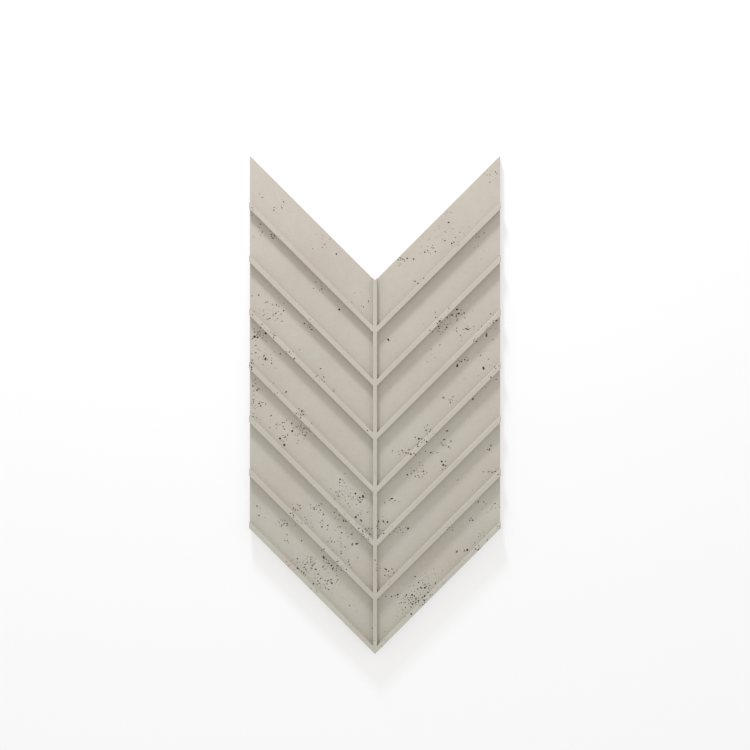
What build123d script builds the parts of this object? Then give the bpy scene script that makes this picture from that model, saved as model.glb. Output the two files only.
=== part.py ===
"""Cast concrete wall panel with a herringbone relief.

The panel lies on its back. +Z points out of the decorative face and +Y points
to the notched end, which is uppermost on a wall. The origin is on the back
face, at the middle of the panel's length and width.
"""

import os
from math import cos, radians, tan

from build123d import *

# Driving dimensions, in millimetres and degrees
panel_width = 500.0
leaf_width = 75.0  # from one rib to the next, square across the leaf
leaf_count = 7  # leaves on each side of the spine
rib_slope = 45.0  # rise of the ribs from the spine towards the sides
plate_thickness = 14.0  # concrete behind the flat leaves
rib_height = 11.0  # how far ribs and spine stand out of the leaves
rib_width = 8.8  # across the flat top of a rib
rib_trim = 1.0  # taken off the lowest rib by the pointed edge, which leaves room for the joint
spine_width = 8.0
draft_angle = 3.0  # lean of the rib walls, which lets the mould pull off
rib_arris = 0.5  # rounding along the tops of ribs and spine
edge_arris = 0.6  # rounding around the panel's front edges

# Places that follow from the dimensions
half_width = panel_width / 2
leaf_pitch = leaf_width / cos(radians(rib_slope))
notch_depth = half_width * tan(radians(rib_slope))
side_length = leaf_count * leaf_pitch
top_y = (side_length + notch_depth) / 2
notch_y = top_y - notch_depth
tip_y = -top_y
face_z = plate_thickness
front_z = plate_thickness + rib_height
rib_root = 2 * edge_arris  # ribs start this far below the leaves, inside the plate
rib_overrun = 2 * (rib_width + rib_height)  # ribs are drawn past the sides, then trimmed


def panel_block(thickness):
    """Return the chevron outline as a block with rounded front edges."""
    with BuildPart() as block:
        with BuildSketch():
            with BuildLine():
                Polyline(
                    (0, notch_y),
                    (half_width, top_y),
                    (half_width, top_y - side_length),
                    (0, tip_y),
                    close=True,
                )
            make_face()
            mirror(about=Plane.YZ)
        extrude(amount=thickness)
        fillet(block.faces().sort_by(Axis.Z)[-1].edges(), edge_arris)
    return block.part


def rib_section(plane, width):
    """Return the section of a rib, centred on a plane whose Y points out of the face."""
    depth = rib_height + rib_root
    lean = depth * tan(radians(draft_angle))
    with BuildSketch(plane) as section:
        with BuildLine():
            Polyline(
                (-width / 2 - lean, -rib_root),
                (width / 2 + lean, -rib_root),
                (width / 2, rib_height),
                (-width / 2, rib_height),
                close=True,
            )
        make_face()
        fillet(section.vertices().group_by(Axis.Y)[-1], rib_arris)
    return section.sketch


# Relief: one spine down the middle, and a pair of ribs below each pair of leaves
with BuildPart() as relief:
    spine_start = Plane((0, notch_y + rib_overrun, face_z), x_dir=(1, 0, 0), z_dir=(0, -1, 0))
    extrude(rib_section(spine_start, spine_width), amount=side_length + 2 * rib_overrun)
    rib_reach = half_width + rib_overrun
    rib_rise = rib_reach * tan(radians(rib_slope))
    rib_offset = (rib_width / 2 - rib_trim) / cos(radians(rib_slope))
    for number in range(1, leaf_count + 1):
        rib_y = notch_y - number * leaf_pitch + rib_offset
        with BuildLine() as rib_path:
            Polyline(
                (-rib_reach, rib_y + rib_rise, face_z),
                (0, rib_y, face_z),
                (rib_reach, rib_y + rib_rise, face_z),
            )
        rib_start = Plane(rib_path.line @ 0, x_dir=(rib_rise, rib_reach, 0), z_dir=rib_path.line % 0)
        sweep(rib_section(rib_start, rib_width), path=rib_path.line, transition=Transition.RIGHT)
    add(panel_block(front_z), mode=Mode.INTERSECT)

# The casting: the plate and its relief in one piece
with BuildPart() as panel:
    add(panel_block(plate_thickness))
    add(relief.part)

panel.part.label = "panel"

os.makedirs("parts", exist_ok=True)
export_step(panel.part, "parts/panel.step")

box = panel.part.bounding_box()
print(f"panel {box.size.X:.1f} x {box.size.Y:.1f} x {box.size.Z:.1f} mm")
print(f"volume {panel.part.volume / 1e6:.3f} litres, solids {len(panel.part.solids())}")
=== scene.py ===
# %% [markdown]
# # Dressing a herringbone concrete wall panel
# The object is one casting: a flat plate, a spine down its middle and ribs that
# slant up from the spine to both sides. A CAD model already holds that shape at
# its real size. What it lacks is what makes concrete look like concrete: the
# air pores that open in the cast face, the fine sand, the faint clouds of
# colour, and the light that rakes across the ribs. This lesson adds those.

# %% Load the panel
import math

import bmesh
import bpy
import numpy as np
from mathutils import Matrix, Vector
from mathutils.bvhtree import BVHTree


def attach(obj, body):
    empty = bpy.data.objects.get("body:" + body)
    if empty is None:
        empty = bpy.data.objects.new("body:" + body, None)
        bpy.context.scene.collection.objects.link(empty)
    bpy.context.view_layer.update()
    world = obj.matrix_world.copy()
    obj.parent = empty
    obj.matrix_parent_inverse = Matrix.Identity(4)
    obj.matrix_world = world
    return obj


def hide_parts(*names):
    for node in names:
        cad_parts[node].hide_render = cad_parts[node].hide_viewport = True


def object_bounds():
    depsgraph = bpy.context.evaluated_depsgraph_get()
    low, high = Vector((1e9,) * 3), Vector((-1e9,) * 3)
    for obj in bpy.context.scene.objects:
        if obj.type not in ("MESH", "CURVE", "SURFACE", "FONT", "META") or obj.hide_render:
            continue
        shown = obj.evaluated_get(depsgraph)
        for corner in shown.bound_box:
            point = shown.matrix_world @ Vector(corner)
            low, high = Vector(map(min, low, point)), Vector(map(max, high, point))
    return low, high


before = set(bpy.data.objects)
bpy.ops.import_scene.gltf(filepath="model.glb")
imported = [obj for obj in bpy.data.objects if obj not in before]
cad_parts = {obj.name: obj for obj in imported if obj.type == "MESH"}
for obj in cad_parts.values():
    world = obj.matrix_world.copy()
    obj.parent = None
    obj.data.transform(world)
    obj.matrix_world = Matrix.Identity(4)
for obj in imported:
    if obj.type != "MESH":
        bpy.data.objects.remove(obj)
cad_low, cad_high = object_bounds()
cad_size = cad_high - cad_low
MM = 0.001  # the frame is in metres, and real sizes below are written in millimetres
print(f"CAD box {cad_size.x / MM:.0f} x {cad_size.y / MM:.0f} x {cad_size.z / MM:.0f} mm")

# %% [markdown]
# ## The blank casting
# The CAD node may not be changed, so the visible panel is a new mesh with the
# same faces. The imported mesh is split along every hard edge, which leaves
# loose seams. Welding the doubled corners closes it into one watertight skin,
# and only a closed skin can be cut cleanly later.

# %% Copy the casting and weld it
WELD_WITHIN = 0.001 * MM  # corners closer than this become one


def welded_copy(source, name):
    """Return a new closed mesh with the faces of source."""
    mesh = bpy.data.meshes.new(name)
    corners = [v.co[:] for v in source.vertices]
    mesh.from_pydata(corners, [], [p.vertices[:] for p in source.polygons])
    cage = bmesh.new()
    cage.from_mesh(mesh)
    bmesh.ops.remove_doubles(cage, verts=cage.verts, dist=WELD_WITHIN)
    bmesh.ops.recalc_face_normals(cage, faces=cage.faces)
    open_edges = sum(not e.is_manifold for e in cage.edges)
    cage.to_mesh(mesh)
    cage.free()
    print(f"{name}: {len(mesh.polygons)} faces, {open_edges} open edges")
    return mesh


blank_mesh = welded_copy(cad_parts["panel"].data, "panel_blank")
blank = bpy.data.objects.new("panel_blank", blank_mesh)
bpy.context.scene.collection.objects.link(blank)

# %% [markdown]
# ## Where the pores are
# Air that is trapped against the mould leaves round pits when the mould comes off. They gather in
# loose clusters, because the mix is poured in patches, and on this panel they thicken towards the
# pointed end. A noise texture would spread them evenly, so the clusters are listed one by one and
# only the pores inside each cluster are drawn at random, from a fixed seed.

# %% Place the clusters
# Each grade: usual width of a round pore in mm, and how much widths vary, as a share
GRADES = {
    "fine": (1.25, 0.42),
    "mixed": (1.82, 0.42),
    "coarse": (2.5, 0.35),
    "large": (4.7, 0.10),
}
# Each cluster: middle x and y, spread in x and y (all mm), number of pores, grade
CLUSTERS = [
    # Single large pores, which come first so that nothing is in their way
    (-217, 140, 1, 1, 1, "large"),
    (-147, -14, 1, 1, 1, "large"),
    (-39, -226, 1, 1, 1, "large"),
    (-87, -325, 1, 1, 1, "large"),
    (27, 128, 1, 1, 1, "large"),
    (167, 76, 1, 1, 1, "large"),
    (138, -121, 1, 1, 1, "large"),
    (67, -250, 1, 1, 1, "large"),
    (71, -417, 1, 1, 1, "large"),
    # First leaf on the left
    (-241, 386, 4, 4, 4, "mixed"),
    (-215, 420, 22, 4, 7, "fine"),
    (-186, 392, 8, 12, 14, "fine"),
    (-90, 325, 18, 14, 18, "fine"),
    (-48, 206, 16, 9, 10, "mixed"),
    # Second leaf on the left
    (-222, 334, 8, 12, 12, "mixed"),
    (-208, 337, 4, 3, 6, "coarse"),
    (-113, 234, 8, 8, 8, "mixed"),
    # Third leaf on the left
    (-210, 188, 20, 16, 34, "mixed"),
    (-203, 185, 6, 6, 9, "mixed"),
    (-165, 100, 9, 6, 14, "mixed"),
    (-129, 158, 7, 6, 11, "mixed"),
    (-106, 58, 5, 7, 10, "mixed"),
    (-81, 36, 5, 10, 8, "fine"),
    # Fourth leaf on the left
    (-246, 76, 3, 6, 7, "coarse"),
    (-235, 110, 5, 5, 6, "mixed"),
    (-223, 140, 14, 7, 32, "coarse"),
    (-217, 90, 13, 9, 22, "mixed"),
    (-190, 24, 8, 4, 6, "mixed"),
    (-148, -18, 4, 5, 12, "coarse"),
    # Fifth leaf on the left
    (-237, 28, 7, 10, 14, "mixed"),
    (-237, -28, 7, 10, 14, "mixed"),
    (-235, 0, 8, 5, 12, "coarse"),
    (-191, -42, 10, 10, 22, "mixed"),
    (-181, -74, 4, 4, 6, "coarse"),
    (-143, -54, 13, 9, 40, "mixed"),
    (-64, -187, 13, 8, 44, "mixed"),
    (-63, -164, 6, 9, 12, "mixed"),
    (-28, -187, 7, 5, 10, "coarse"),
    (-29, -218, 8, 6, 9, "mixed"),
    (-18, -259, 6, 9, 21, "mixed"),
    # Sixth leaf on the left
    (-155, -212, 6, 7, 17, "mixed"),
    (-135, -235, 14, 8, 14, "mixed"),
    (-117, -208, 9, 5, 14, "mixed"),
    (-77, -278, 14, 8, 18, "mixed"),
    (-69, -239, 22, 14, 34, "mixed"),
    (-57, -304, 9, 14, 12, "mixed"),
    (-51, -261, 5, 6, 7, "mixed"),
    (-47, -317, 5, 5, 5, "mixed"),
    # Last leaf on the left
    (-225, -216, 10, 12, 12, "fine"),
    (-183, -240, 11, 6, 19, "mixed"),
    (-177, -275, 5, 4, 4, "mixed"),
    (-161, -324, 9, 9, 16, "mixed"),
    (-140, -317, 10, 5, 18, "mixed"),
    (-137, -318, 8, 4, 12, "coarse"),
    (-137, -333, 7, 5, 9, "mixed"),
    (-109, -322, 22, 8, 22, "mixed"),
    (-108, -360, 23, 12, 52, "mixed"),
    (-97, -317, 7, 4, 7, "coarse"),
    (-71, -328, 9, 5, 12, "coarse"),
    (-52, -415, 14, 20, 9, "fine"),
    (-4, -464, 2, 7, 6, "fine"),
    # First leaf on the right
    (231, 458, 12, 8, 16, "fine"),
    (173, 348, 10, 4, 8, "mixed"),
    (159, 322, 8, 7, 8, "mixed"),
    (135, 376, 10, 9, 11, "fine"),
    (122, 341, 16, 12, 34, "fine"),
    (103, 309, 9, 6, 12, "mixed"),
    (89, 242, 6, 4, 6, "mixed"),
    (54, 286, 9, 6, 10, "coarse"),
    # Second leaf on the right
    (209, 326, 6, 14, 8, "mixed"),
    # Third leaf on the right
    (201, 130, 6, 5, 8, "mixed"),
    (178, 147, 13, 9, 20, "mixed"),
    (166, 179, 9, 6, 12, "coarse"),
    (128, 157, 13, 11, 37, "mixed"),
    (111, 96, 10, 10, 9, "fine"),
    # Fourth leaf on the right
    (235, 156, 8, 18, 20, "mixed"),
    (231, 67, 9, 13, 16, "mixed"),
    (215, 104, 8, 6, 8, "fine"),
    (195, 38, 14, 14, 10, "fine"),
    (177, 89, 5, 3, 9, "coarse"),
    (153, 5, 6, 5, 10, "mixed"),
    (106, -53, 5, 4, 10, "coarse"),
    (92, -76, 6, 6, 13, "coarse"),
    (66, -98, 11, 3, 14, "coarse"),
    # Fifth leaf on the right
    (139, -81, 8, 7, 16, "mixed"),
    (139, -122, 5, 4, 5, "coarse"),
    (106, -96, 10, 2, 6, "mixed"),
    (88, -135, 9, 7, 24, "mixed"),
    (38, -195, 16, 4, 14, "fine"),
    (18, -238, 8, 11, 15, "mixed"),
    # Sixth leaf on the right
    (229, -90, 4, 3, 3, "mixed"),
    (229, -137, 11, 2, 7, "mixed"),
    (56, -252, 9, 5, 8, "mixed"),
    (25, -344, 8, 10, 15, "mixed"),
    (7, -324, 4, 8, 7, "mixed"),
    # Last leaf on the right
    (245, -244, 3, 6, 5, "mixed"),
    (231, -202, 12, 6, 13, "mixed"),
    (211, -268, 7, 12, 12, "mixed"),
    (207, -290, 4, 3, 4, "coarse"),
    (195, -232, 6, 3, 4, "coarse"),
    (173, -294, 6, 2, 4, "coarse"),
    (147, -250, 7, 4, 6, "mixed"),
    (113, -339, 9, 5, 8, "mixed"),
    (102, -362, 17, 11, 46, "mixed"),
    (89, -394, 9, 6, 14, "coarse"),
    (67, -389, 12, 6, 20, "coarse"),
    (65, -393, 12, 9, 20, "mixed"),
    (55, -414, 5, 6, 8, "mixed"),
    (18, -466, 4, 12, 8, "mixed"),
]
STRAYS_ON_FACE = 60  # throws for lone fine pores, some of which miss the panel
PORES_ON_EDGES = 120  # throws for fine pores in the upright faces
print(f"{len(CLUSTERS)} clusters, {sum(c[4] for c in CLUSTERS)} pores in them")

# %% [markdown]
# ## The outline of one pore
# Few pores are round. Bubbles that touch run together in a short bent string,
# so a pore is drawn as one to four round lobes in a row, each a little turned
# from the one before. Its mouth is the outline around all the lobes, found by
# looking outward from the middle and keeping the farthest edge.

# %% Shape the mouths
SEED = 20  # any other number throws other pores into the same clusters
LOBE_SHARES = (0.52, 0.30, 0.13, 0.05)  # how many pores have one, two, three or four lobes
LOBE_RADIUS = (0.75, 1.1)  # least and most, in halves of the pore's width
LOBE_STEP = 1.25  # from lobe to lobe, in radii
LOBE_TURN = 0.45  # radians, how much a string bends at each lobe
LOBE_SHRINK = 0.35  # power of the lobe count that narrows the lobes of a string
CORNER_STRAY = 0.25  # how far a corner of the outline strays, in steps from corner to corner
rng = np.random.default_rng(SEED)


def pore_lobes(width):
    """Return the lobes of one pore around its middle: x, y and radius in each row."""
    count = rng.choice(len(LOBE_SHARES), p=LOBE_SHARES) + 1
    heading = rng.uniform(0, 2 * math.pi)
    spot = np.zeros(2)
    rows = []
    for _ in range(count):
        radius = width / 2 * rng.uniform(*LOBE_RADIUS) / count ** LOBE_SHRINK
        rows.append((*spot, radius))
        heading += rng.normal(0, LOBE_TURN)
        spot = spot + LOBE_STEP * radius * np.array([math.cos(heading), math.sin(heading)])
    lobes = np.array(rows)
    lobes[:, :2] -= lobes[:, :2].mean(axis=0)
    return lobes


def mouth(lobes, corners):
    """Return the outline around the lobes as points, with more of them at its far ends."""
    middles, radii = lobes[:, :2], lobes[:, 2]
    far = middles[np.argmax(np.hypot(*middles.T))]
    lean = math.atan2(far[1], far[0])
    length = radii.mean() + np.hypot(*far)
    steps = np.arange(corners) + rng.uniform(-CORNER_STRAY, CORNER_STRAY, corners)
    turns = steps * 2 * math.pi / corners
    flat = np.stack([length * np.cos(turns), radii.mean() * np.sin(turns)], axis=1)
    turned = flat @ np.array([[math.cos(lean), math.sin(lean)], [-math.sin(lean), math.cos(lean)]])
    looks = turned / np.hypot(*turned.T)[:, None]
    ahead = looks @ middles.T
    room = ahead ** 2 - (middles ** 2).sum(axis=1) + radii ** 2
    edges = np.where(room > 0, ahead + np.sqrt(np.maximum(room, 0)), 0)
    return looks * edges.max(axis=1)[:, None]


usual_lobes = sum(number * share for number, share in enumerate(LOBE_SHARES, start=1))
print(f"a pore has {usual_lobes:.1f} lobes on average")

# %% [markdown]
# ## Dropping the pores onto the surface
# Each pore needs a point on the skin and the direction that is out of it. A ray
# gives both: shot straight down for the face, so a pore may land on a leaf, on
# a rib or on its edge, and shot sideways for the narrow edges. Each lobe keeps a
# thin wall to the lobes of every earlier pore, so each pit stays a clean one.

# %% Test one throw
WIDTH_LIMITS = (0.6, 5.2)  # mm
LIP_REACH = 1.25  # room kept for the lip around a lobe, in radii of the lobe
WALL_BETWEEN = 0.25 * MM  # concrete left between two pores
skin = BVHTree.FromPolygons(
    [v.co for v in blank_mesh.vertices], [p.vertices[:] for p in blank_mesh.polygons]
)
pores = []  # each: point on the skin, its three axes with the last one outward, lobes
taken_spots, taken_radii = np.zeros((0, 3)), np.zeros(0)  # every lobe so far


def try_pore(start, direction, grade):
    """Add a pore where the ray meets the skin and return True, unless another is in its way."""
    global taken_spots, taken_radii
    usual, spread = GRADES[grade]
    width = usual * math.exp(rng.normal(0, spread))
    lobes = pore_lobes(min(max(width, WIDTH_LIMITS[0]), WIDTH_LIMITS[1]) * MM)
    point, normal, _, _ = skin.ray_cast(Vector(start), Vector(direction))
    if point is None:
        return False
    along = normal.orthogonal().normalized()
    axes = np.array([along, normal.cross(along), normal])
    spots = lobes[:, :2] @ axes[:2] + np.array(point)
    apart = np.linalg.norm(spots[:, None] - taken_spots[None], axis=2)
    if (apart < LIP_REACH * (lobes[:, 2:] + taken_radii[None]) + WALL_BETWEEN).any():
        return False
    taken_spots = np.concatenate([taken_spots, spots])
    taken_radii = np.concatenate([taken_radii, lobes[:, 2]])
    pores.append((np.array(point), axes, lobes))
    return True


print(f"skin of {len(blank_mesh.polygons)} faces to throw at")

# %% [markdown]
# ### Face and edges
# A pore of a cluster that meets another one is thrown again, a few times, while
# a stray is simply given up. For the edges, two throws in three come from
# outside and meet a side, the pointed end or the wall of a rib. The third
# starts on the middle line and goes outward, so the walls of the notch and of
# the spine get pores too.

# %% Throw the pores
TRIES = 14  # throws before a pore of a cluster is given up
DROP = 50 * MM  # from the start of a throw down to the rib tops
EDGE_MARGIN = 3 * MM  # pores in the edges keep this far from the panel's front and back
DOWN = (0, 0, -1)

above = cad_high.z + DROP
for x, y, spread_x, spread_y, count, grade in CLUSTERS:
    for _ in range(count):
        for _ in range(TRIES):
            spot = (rng.normal(x, spread_x) * MM, rng.normal(y, spread_y) * MM, above)
            if try_pore(spot, DOWN, grade):
                break

for _ in range(STRAYS_ON_FACE):
    spot = (rng.uniform(cad_low.x, cad_high.x), rng.uniform(cad_low.y, cad_high.y), above)
    try_pore(spot, DOWN, "fine")
on_face = len(pores)

for number in range(PORES_ON_EDGES):
    side = 1 if number % 2 else -1
    y = rng.uniform(cad_low.y, cad_high.y)
    z = rng.uniform(cad_low.z + EDGE_MARGIN, cad_high.z - EDGE_MARGIN)
    inwards = number % 3 > 0
    start_x = side * cad_size.x if inwards else 0
    try_pore((start_x, y, z), (-side if inwards else side, 0, 0), "fine")
print(f"{on_face} pores on the face, {len(pores) - on_face} on the edges")

# %% [markdown]
# ## Pore-shaped cutters
# Below its mouth a pore is a cup: a flared lip where the skin broke away, steep
# walls and a rounded floor. Each cup is a few rings of the same outline, drawn
# smaller as they go down and closed by a flat lid above the skin and a point at
# the bottom. All the cups become one mesh, because one boolean with many parts
# is far quicker than many booleans.

# %% Shape the cups
# Each ring: height above the skin in depths, and scale of the outline
CUP_RINGS = ((0.35, 1.20), (-0.20, 0.97), (-0.60, 0.88), (-0.90, 0.55))
PINPRICK_RINGS = ((0.40, 1.15), (-0.50, 0.80))
PINPRICK_BELOW = 1.1 * MM  # pores narrower than this get fewer faces
CUP_DEPTH = (0.55, 1.15)  # least and most, in mean widths of the lobes
CORNER_SPACING = 0.6 * MM  # along the rim
FEWEST_SIDES = 6
SIDES_PER_LOBE = 3  # added for each lobe after the first
RAGGED = (0.94, 1.06)  # how far the rim strays in and out, as a share


def cup(point, axes, lobes):
    """Return the corners and faces of one closed cup in the skin."""
    width = 2 * lobes[:, 2].mean()
    rings = PINPRICK_RINGS if width < PINPRICK_BELOW else CUP_RINGS
    sides = max(FEWEST_SIDES, round(math.pi * width / CORNER_SPACING))
    sides += SIDES_PER_LOBE * (len(lobes) - 1)
    depth = width * rng.uniform(*CUP_DEPTH)
    outline = mouth(lobes, sides) * rng.uniform(*RAGGED, (sides, 1))
    rows = []
    for height, scale in rings:
        rows.append(np.column_stack([outline * scale, np.full(sides, height * depth)]))
    rows.append(np.array([[0, 0, -depth]]))
    corners = np.concatenate(rows) @ axes + point
    around = [(j, (j + 1) % sides) for j in range(sides)]
    faces = [tuple(range(sides))]
    for ring in range(len(rings) - 1):
        low = ring * sides
        faces += [(low + b, low + a, low + sides + a, low + sides + b) for a, b in around]
    last = (len(rings) - 1) * sides
    faces += [(last + b, last + a, last + sides) for a, b in around]
    return corners, faces


cup_corners, cup_faces, corner_count = [], [], 0
for pore in pores:
    corners, faces = cup(*pore)
    cup_corners.append(corners)
    cup_faces += [tuple(corner_count + c for c in face) for face in faces]
    corner_count += len(corners)

cup_mesh = bpy.data.meshes.new("cups")
cup_mesh.from_pydata(np.concatenate(cup_corners).tolist(), [], cup_faces)
cups = bpy.data.objects.new("cups", cup_mesh)
bpy.context.scene.collection.objects.link(cups)
print(f"{len(pores)} cups, {len(cup_mesh.polygons)} faces")

# %% [markdown]
# ## The finish of each surface
# Three surfaces need a finish: the cast face, which copied a smooth mould, the walls of the pores,
# which the mould never touched and whose dark colour is painted shade, and the back, which was the
# open top of the mould and was struck off with a straight edge. Before the materials come three
# helpers: one turns a colour as a screen shows it into the linear light that shaders work in, one
# adds a node to a material, and one starts a new material.


# %% Helpers for materials
def linear(hex_colour):
    """Turn an sRGB hex colour into linear red, green, blue and alpha."""
    shares = [int(hex_colour[i:i + 2], 16) / 255 for i in (1, 3, 5)]
    return [s / 12.92 if s <= 0.04045 else ((s + 0.055) / 1.055) ** 2.4 for s in shares] + [1.0]


def add_node(tree, kind, inputs=None, **properties):
    """Add a node, set its properties, and set or link its inputs by name or number."""
    made = tree.nodes.new(kind)
    for name, value in properties.items():
        setattr(made, name, value)
    for socket, value in (inputs or {}).items():
        if isinstance(value, bpy.types.NodeSocket):
            tree.links.new(value, made.inputs[socket])
        else:
            made.inputs[socket].default_value = value
    return made


MIX_FACTOR, MIX_A, MIX_B, MIX_RESULT = 0, 6, 7, 2  # sockets of a Mix node set to colours


def new_material(name):
    """Return a material without a shader, its node tree and its output node."""
    material = bpy.data.materials.new(name)
    material.use_nodes = True
    material.node_tree.nodes.clear()
    output = add_node(material.node_tree, "ShaderNodeOutputMaterial")
    return material, material.node_tree, output


print(f"mid grey on a screen, #808080, is {linear('#808080')[0]:.2f} in linear light")

# %% [markdown]
# ### Cast architectural concrete
# White and grey cement with pale sand, poured into a smooth flexible mould. The
# eye sees an even warm light grey with faint clouds a hand wide, where the
# cement settled unevenly, and a finer mottle. The clouds stay within a few
# percent: any more reads as dirt. Fainter still, the grey turns from rosy in the
# notched half to greenish at the point. Mottle and drift are two faint tints,
# multiplied onto the clouds.

# %% Cast concrete: clouds and drift
CLOUD = 140 * MM
CLOUD_PLACE = (-2.32, -2.14, 0.0)  # metres, the stretch of noise that the panel is laid over
MOTTLE = 16 * MM
GREENISH_BELOW = 0.45 * cad_low.y  # from here on towards the point
ROSY_ABOVE = 0.1 * cad_high.y  # from here on towards the notch

cast_concrete, tree, output = new_material("cast_architectural_concrete")
where = add_node(tree, "ShaderNodeTexCoord").outputs["Object"]
cloud_place = add_node(tree, "ShaderNodeMapping", {"Vector": where, "Location": CLOUD_PLACE})
cloud = add_node(
    tree, "ShaderNodeTexNoise",
    {"Vector": cloud_place.outputs["Vector"], "Scale": 1 / CLOUD, "Detail": 3.0},
)
mottle = add_node(tree, "ShaderNodeTexNoise", {"Vector": where, "Scale": 1 / MOTTLE, "Detail": 4.0})
clouded = add_node(
    tree, "ShaderNodeMix",
    {MIX_FACTOR: cloud.outputs["Fac"], MIX_A: linear("#B6ACA1"), MIX_B: linear("#BEBCAE")},
    data_type="RGBA",
)
mottled = add_node(
    tree, "ShaderNodeMix",
    {MIX_FACTOR: mottle.outputs["Fac"], MIX_A: linear("#F6F6F5"), MIX_B: linear("#FFFFFF")},
    data_type="RGBA",
)
toned = add_node(
    tree, "ShaderNodeMix",
    {MIX_FACTOR: 1.0, MIX_A: clouded.outputs[MIX_RESULT], MIX_B: mottled.outputs[MIX_RESULT]},
    data_type="RGBA", blend_type="MULTIPLY",
)
along = add_node(tree, "ShaderNodeSeparateXYZ", {"Vector": where})
towards_notch = add_node(
    tree, "ShaderNodeMapRange",
    {"Value": along.outputs["Y"], "From Min": GREENISH_BELOW, "From Max": ROSY_ABOVE},
)
drift = add_node(
    tree, "ShaderNodeMix",
    {MIX_FACTOR: towards_notch.outputs["Result"],
     MIX_A: linear("#FDFFFF"), MIX_B: linear("#FFFEFE")},
    data_type="RGBA",
)
drifted = add_node(
    tree, "ShaderNodeMix",
    {MIX_FACTOR: 1.0, MIX_A: toned.outputs[MIX_RESULT], MIX_B: drift.outputs[MIX_RESULT]},
    data_type="RGBA", blend_type="MULTIPLY",
)
print(f"{cast_concrete.name}: {len(tree.nodes)} nodes for clouds and drift")

# %% [markdown]
# ### Sand, pinholes and sheen
# Close up, the skin shows its sand. One noise gives both what the eye sees of
# it, a fine grain in the colour, and what the hand feels, a slight roughness.
# Pinholes too small to be worth cutting are painted into the colour as dark dots: painted shade
# where such tiny pits would be shaded. They are the middles of the cells of a Voronoi pattern, and a
# second, wider noise lets them show in some patches only. The sheen is dusty and matt, and varies
# with the mottle.

# %% Cast concrete: sand, pinholes and sheen
GRIT = 1.6 * MM  # real sand is nearer 0.5 mm, drawn coarser so that it shows
GRIT_RELIEF = 0.25 * MM
GRIT_CONTRAST = 0.25  # how much the sand shows in the colour
PINHOLE_SPACING = 9 * MM
PINHOLE_WIDTH = 1.1 * MM
PINHOLE_PATCH = 60 * MM

grit = add_node(tree, "ShaderNodeTexNoise", {"Vector": where, "Scale": 1 / GRIT, "Detail": 2.0})
sanded = add_node(
    tree, "ShaderNodeMix",
    {MIX_FACTOR: GRIT_CONTRAST, MIX_A: drifted.outputs[MIX_RESULT], MIX_B: grit.outputs["Fac"]},
    data_type="RGBA", blend_type="SOFT_LIGHT",
)
pinhole = add_node(
    tree, "ShaderNodeTexVoronoi", {"Vector": where, "Scale": 1 / PINHOLE_SPACING, "Randomness": 1.0}
)
patch = add_node(
    tree, "ShaderNodeTexNoise", {"Vector": where, "Scale": 1 / PINHOLE_PATCH, "Detail": 1.0}
)
hole_size = add_node(
    tree, "ShaderNodeMapRange",
    {"Value": patch.outputs["Fac"], "From Min": 0.5, "From Max": 0.7,
     "To Min": 0.0, "To Max": PINHOLE_WIDTH / 2 / PINHOLE_SPACING},
)
# painted shade: the pinholes' dark dots stand in for the shade inside tiny pits
pinhole_shade_mask = add_node(
    tree, "ShaderNodeMath", {0: pinhole.outputs["Distance"], 1: hole_size.outputs["Result"]},
    operation="LESS_THAN",
)
pinhole_shaded = add_node(
    tree, "ShaderNodeMix",
    {MIX_FACTOR: pinhole_shade_mask.outputs[0], MIX_A: sanded.outputs[MIX_RESULT], MIX_B: linear("#7A7265")},
    data_type="RGBA",
)
relief = add_node(
    tree, "ShaderNodeBump", {"Height": grit.outputs["Fac"], "Strength": 0.5, "Distance": GRIT_RELIEF}
)
dulling = add_node(
    tree, "ShaderNodeMapRange", {"Value": mottle.outputs["Fac"], "To Min": 0.82, "To Max": 0.94}
)
shader = add_node(
    tree, "ShaderNodeBsdfPrincipled",
    {"Base Color": pinhole_shaded.outputs[MIX_RESULT], "Roughness": dulling.outputs["Result"],
     "Normal": relief.outputs["Normal"], "IOR": 1.5},
)
tree.links.new(shader.outputs["BSDF"], output.inputs["Surface"])
print(f"{cast_concrete.name}: {len(tree.nodes)} nodes")

# %% [markdown]
# ### Pore walls
# Inside a pore the walls are a dark, brownish grey with a coarse, dull surface. That dark colour is
# painted shade: at this scale a pore is a pixel or two, and its own shade alone would look too pale.
# The pit's own shade makes it darker still.

# %% Pore walls
CRUMB = 1.2 * MM

pore_walls, tree, output = new_material("pore_concrete_painted_shade")
where = add_node(tree, "ShaderNodeTexCoord").outputs["Object"]
crumb = add_node(tree, "ShaderNodeTexNoise", {"Vector": where, "Scale": 1 / CRUMB, "Detail": 2.0})
# painted shade: the pore walls' dark brownish grey stands in for the shade inside the pits
shade = add_node(
    tree, "ShaderNodeMix",
    {MIX_FACTOR: crumb.outputs["Fac"], MIX_A: linear("#5A5347"), MIX_B: linear("#787062")},
    data_type="RGBA",
)
shader = add_node(
    tree, "ShaderNodeBsdfPrincipled",
    {"Base Color": shade.outputs[MIX_RESULT], "Roughness": 0.96, "IOR": 1.5},
)
tree.links.new(shader.outputs["BSDF"], output.inputs["Surface"])
print(f"{pore_walls.name}: {len(tree.nodes)} nodes")

# %% [markdown]
# ### The struck back
# The back is bedded in adhesive and never seen on a wall. It was the open side
# of the mould, scraped level with a straight edge, so it is duller and greyer
# than the face, with drag marks that run across the panel.

# %% Struck back
DRAG_LENGTH = 90 * MM
DRAG_WIDTH = 4 * MM
DRAG_RELIEF = 0.6 * MM

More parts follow.
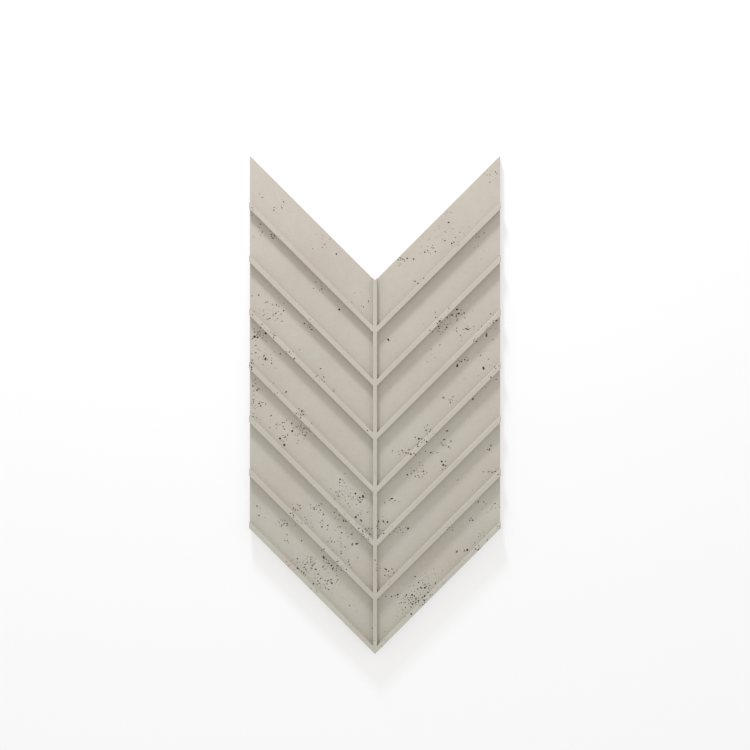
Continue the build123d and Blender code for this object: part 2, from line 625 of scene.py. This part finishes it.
struck_back, tree, output = new_material("struck_off_concrete")
where = add_node(tree, "ShaderNodeTexCoord").outputs["Object"]
stretched = add_node(
    tree, "ShaderNodeMapping",
    {"Vector": where, "Scale": (1 / DRAG_LENGTH, 1 / DRAG_WIDTH, 1 / DRAG_WIDTH)},
)
drag = add_node(
    tree, "ShaderNodeTexNoise",
    {"Vector": stretched.outputs["Vector"], "Scale": 1.0, "Detail": 5.0},
)
shade = add_node(
    tree, "ShaderNodeMix",
    {MIX_FACTOR: drag.outputs["Fac"], MIX_A: linear("#979085"), MIX_B: linear("#B6AFA4")},
    data_type="RGBA",
)
relief = add_node(
    tree, "ShaderNodeBump", {"Height": drag.outputs["Fac"], "Strength": 0.8, "Distance": DRAG_RELIEF}
)
shader = add_node(
    tree, "ShaderNodeBsdfPrincipled",
    {"Base Color": shade.outputs[MIX_RESULT], "Roughness": 0.95,
     "Normal": relief.outputs["Normal"], "IOR": 1.5},
)
tree.links.new(shader.outputs["BSDF"], output.inputs["Surface"])
print(f"{struck_back.name}: {len(tree.nodes)} nodes")

# %% [markdown]
# ## Cutting the pores
# The cups are taken away from the blank with one boolean. Both meshes carry the same list of
# materials, so a face that a cup leaves behind keeps the number of the pore material, whose dark
# colour is painted shade. The cut is then made final, and blank and cups have done their work.

# %% Cut the pores
CAST, PORE, BACK = 0, 1, 2  # material numbers on the casting
for mesh in (blank_mesh, cup_mesh):
    for material in (cast_concrete, pore_walls, struck_back):
        mesh.materials.append(material)
cup_mesh.polygons.foreach_set("material_index", [PORE] * len(cup_mesh.polygons))

cut = blank.modifiers.new("pores", "BOOLEAN")
cut.operation = "DIFFERENCE"
cut.solver = "MANIFOLD"
cut.object = cups
bpy.context.view_layer.update()
cut_blank = blank.evaluated_get(bpy.context.evaluated_depsgraph_get())
casting_mesh = bpy.data.meshes.new_from_object(cut_blank)
casting_mesh.name = "panel_casting"
for spare in (blank, cups):
    bpy.data.objects.remove(spare)
print(f"cut casting: {len(casting_mesh.polygons)} faces")

# %% [markdown]
# ## Sharp and smooth
# Edges sharper than a rounded arris stay sharp, and everything else, pore walls
# too, is shaded smooth. Large faces lead where they meet small ones, so flats
# look flat right up to an arris. The faces that look straight down get the
# finish of the struck back. The casting then takes the place of the CAD node.

# %% Finish the casting
SHARP_FROM = math.radians(38)
FACES_DOWN = -0.99  # a face whose normal has a lower z than this belongs to the back

cage = bmesh.new()
cage.from_mesh(casting_mesh)
for face in cage.faces:
    face.smooth = True
    if face.material_index == CAST and face.normal.z < FACES_DOWN:
        face.material_index = BACK
for edge in cage.edges:
    in_pore = all(face.material_index == PORE for face in edge.link_faces)
    edge.smooth = in_pore or edge.calc_face_angle(0) < SHARP_FROM
cage.to_mesh(casting_mesh)
cage.free()

casting = bpy.data.objects.new("panel_casting", casting_mesh)
bpy.context.scene.collection.objects.link(casting)
flats_first = casting.modifiers.new("flats_first", "WEIGHTED_NORMAL")
flats_first.keep_sharp = True
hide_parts("panel")
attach(casting, "root")
counts = [sum(p.material_index == m for p in casting_mesh.polygons) for m in (CAST, PORE, BACK)]
triangles = sum(len(p.vertices) - 2 for p in casting_mesh.polygons)
print(f"casting: {triangles} triangles, faces cast, pore and back {counts}")

# %% [markdown]
# ## Floor
# The panel lies on its back on a plain pale floor, like the glowing top of a
# light table. The glow lifts the floor to white and thins the panel's shadow,
# so the background stays clean and the panel still sits on something.

# %% Lay the floor
FLOOR_HALF = 8.0  # metres, far beyond what the camera sees
FLOOR_GAP = 0.2 * MM  # floor and back must not share one plane
FLOOR_GLOW = 0.42  # light that the floor gives off by itself

floor_mesh = bpy.data.meshes.new("floor")
floor_mesh.from_pydata(
    [(-FLOOR_HALF, -FLOOR_HALF, 0), (FLOOR_HALF, -FLOOR_HALF, 0),
     (FLOOR_HALF, FLOOR_HALF, 0), (-FLOOR_HALF, FLOOR_HALF, 0)],
    [], [(0, 1, 2, 3)],
)
floor = bpy.data.objects.new("floor", floor_mesh)
floor.location.z = cad_low.z - FLOOR_GAP
bpy.context.scene.collection.objects.link(floor)

studio_floor, tree, output = new_material("matt_white_floor")
shader = add_node(
    tree, "ShaderNodeBsdfPrincipled",
    {"Base Color": linear("#BCBBBA"), "Roughness": 0.9, "IOR": 1.4,
     "Emission Color": linear("#FFFFFF"), "Emission Strength": FLOOR_GLOW},
)
tree.links.new(shader.outputs["BSDF"], output.inputs["Surface"])
floor_mesh.materials.append(studio_floor)
print(f"floor {2 * FLOOR_HALF:.0f} m square, {FLOOR_GAP / MM:.1f} mm below the back")

# %% [markdown]
# ## Light
# Two lights make the picture. An even white surround fills every side, as a
# studio tent does, and gives the soft darkening in the corners. One round
# softbox stands low beyond the notched end, a little to the left, so each rib
# throws a shadow nearly three times its height down the next leaf. Its distance
# sets how the light fades towards the point, and its width how soft the
# shadows' edges are.

# %% Light the studio
LAMP_PLACE = (-0.38, 2.40, 0.87)  # metres
LAMP_WIDTH = 0.39  # metres
LAMP_POWER = 50.5  # watts
LAMP_COLOUR = linear("#F4F3FF")[:3]  # a little cooler than the surround
SURROUND = 0.915  # strength of the surround, where 1 is the white of the picture

world = bpy.data.worlds.new("studio_surround")
world.use_nodes = True
world.node_tree.nodes["Background"].inputs["Color"].default_value = linear("#FFFFFF")
world.node_tree.nodes["Background"].inputs["Strength"].default_value = SURROUND
bpy.context.scene.world = world

lamp = bpy.data.lights.new("softbox", "AREA")
lamp.shape = "DISK"
lamp.size = LAMP_WIDTH
lamp.energy = LAMP_POWER
lamp.color = LAMP_COLOUR
softbox = bpy.data.objects.new("softbox", lamp)
softbox.location = LAMP_PLACE
softbox.rotation_euler = (-softbox.location).to_track_quat("-Z", "Y").to_euler()
bpy.context.scene.collection.objects.link(softbox)
bpy.context.scene.view_settings.view_transform = "Standard"
print(f"softbox {softbox.location.length:.2f} m from the panel's middle")

# %% [markdown]
# ## Camera
# The panel was pictured square on. Lying flat, that means a camera straight
# above it, with the notched end at the top of the picture. The flat leaves fill
# a third of the picture's width, which fixes the distance once the lens is
# chosen, and the rib ends overhang the leaves by less than a pixel, which fixes
# the lens.

# %% Place the camera
PICTURE_SIDE = 750  # pixels
PANEL_IN_PICTURE = 250.3  # pixels across the flat leaves
PANEL_BELOW_MIDDLE = 28.97  # pixels from the picture's middle down to the panel's
LENS = 43.0  # millimetres
SENSOR = 36.0  # millimetres across
LEAF_Z = 14 * MM  # the leaves' height above the floor

pixel = cad_size.x / PANEL_IN_PICTURE
lens = bpy.data.cameras.new("camera")
lens.lens = LENS
lens.sensor_width = SENSOR
camera = bpy.data.objects.new("camera", lens)
camera.location = (0, PANEL_BELOW_MIDDLE * pixel, LEAF_Z + PICTURE_SIDE * pixel * LENS / SENSOR)
bpy.context.scene.collection.objects.link(camera)
bpy.context.scene.camera = camera
print(f"camera {camera.location.z:.2f} m above the floor, {pixel / MM:.2f} mm to a pixel")
